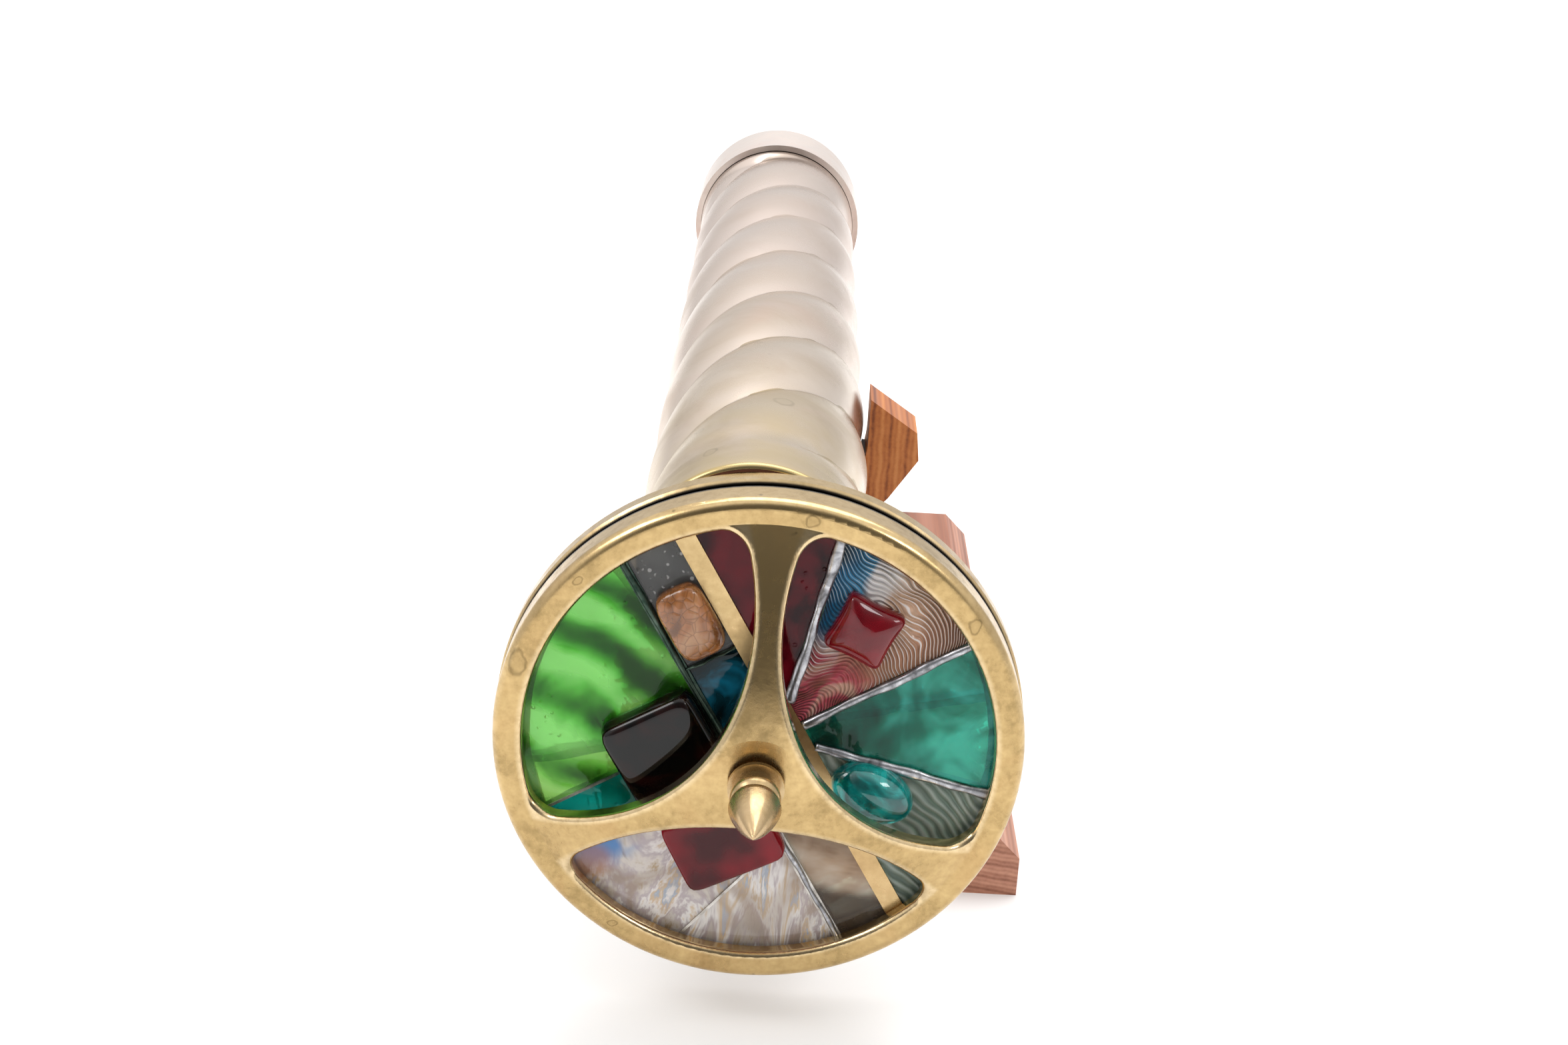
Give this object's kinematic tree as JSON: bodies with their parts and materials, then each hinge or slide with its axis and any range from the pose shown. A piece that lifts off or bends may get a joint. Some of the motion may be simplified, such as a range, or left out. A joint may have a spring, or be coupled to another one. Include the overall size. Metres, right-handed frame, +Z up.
{
  "type": "kaleidoscope",
  "caption": "Brass kaleidoscope with a twisted barrel and turning stained-glass wheels on a shared spindle, lying in a wooden cradle it lifts out of.",
  "frame": {"origin": "middle of the stand's underside, on the table", "axes": "+Z up; +Y along the barrel from the glass wheels to the eyepiece; +X to the right of a person facing the wheels"},
  "size_m": [0.1069, 0.3435, 0.1128],
  "materials": {
    "brass": "aged, mottled, once polished",
    "brass_bright": "turned, satin",
    "steel": "plated",
    "wood_base": "oiled, satin",
    "wood_cradle": "oiled, satin",
    "felt": "felt",
    "lead": "hand-soldered, dull silver",
    "mirror": "front-silvered",
    "black_ring": "matt",
    "clear_glass": "clear",
    "glass_wine": "polished, hand-made",
    "glass_peacock": "polished, hand-made",
    "glass_sea_green": "polished, hand-made",
    "glass_grey_ripple": "polished, hand-made",
    "glass_seedy": "polished, hand-made",
    "glass_teal_swirl": "polished, hand-made",
    "glass_peach": "polished, hand-made",
    "glass_apple_green": "polished, hand-made",
    "glass_teal": "polished, hand-made",
    "glass_pearl": "polished, hand-made",
    "jewel_red": "polished, hand-made",
    "jewel_black": "polished, hand-made",
    "jewel_garnet": "polished, hand-made",
    "jewel_amber": "polished, hand-made",
    "jewel_teal": "polished, hand-made",
    "glass_clear_wavy": "polished, hand-made",
    "glass_amber": "polished, hand-made",
    "glass_blue": "polished, hand-made",
    "glass_rose": "polished, hand-made",
    "glass_aqua": "polished, hand-made",
    "glass_green": "polished, hand-made"
  },
  "bodies": {
    "stand": {"stand_base": "wood_base", "front_cradle": "wood_cradle", "rear_cradle": "wood_cradle", "front_felt": "felt", "rear_felt": "felt", "cradle_screws": "steel"},
    "scope": {"barrel_tube": "brass", "eye_lens": "clear_glass", "eye_retainer": "black_ring", "eyepiece_cap": "brass", "finial_nut": "brass_bright", "front_washer": "brass_bright", "mid_washer": "brass_bright", "mirror_base": "mirror", "mirror_left": "mirror", "mirror_right": "mirror", "mirror_ring_front": "black_ring", "mirror_ring_rear": "black_ring", "object_ring": "black_ring", "object_window": "clear_glass", "rear_washer": "brass_bright", "spindle": "brass_bright", "spindle_nut": "brass_bright", "spindle_saddle": "brass_bright"},
    "front_wheel": {"front_cover": "brass", "front_bush": "brass_bright", "front_retaining_ring": "brass", "front_leads": "lead", "brass_bar": "brass", "pane_wine": "glass_wine", "pane_peacock": "glass_peacock", "pane_sea_green": "glass_sea_green", "pane_grey_ripple": "glass_grey_ripple", "pane_seedy": "glass_seedy", "pane_teal_swirl": "glass_teal_swirl", "pane_peach": "glass_peach", "pane_apple_green": "glass_apple_green", "pane_teal": "glass_teal", "pane_pearl_left": "glass_pearl", "pane_pearl_right": "glass_pearl", "jewel_red": "jewel_red", "jewel_black": "jewel_black", "jewel_garnet": "jewel_garnet", "jewel_amber": "jewel_amber", "jewel_teal": "jewel_teal"},
    "rear_wheel": {"rear_bush": "brass_bright", "rear_leads": "lead", "rear_pane_amber": "glass_amber", "rear_pane_aqua": "glass_aqua", "rear_pane_blue": "glass_blue", "rear_pane_clear": "glass_clear_wavy", "rear_pane_green": "glass_green", "rear_pane_rose": "glass_rose", "rear_rim": "brass"}
  },
  "joints": [
    {"name": "scope_lift", "type": "slide", "parent": "stand", "child": "scope", "axis": [0, 0, 1], "range_m": [0, 0.12]},
    {"name": "front_wheel_spin", "type": "hinge", "parent": "scope", "child": "front_wheel", "pos_m": [-0.0115, -0.15, 0.06], "axis": [0, 1, 0], "continuous": true},
    {"name": "rear_wheel_spin", "type": "hinge", "parent": "scope", "child": "rear_wheel", "pos_m": [-0.0115, -0.139, 0.06], "axis": [0, 1, 0], "continuous": true}
  ]
}
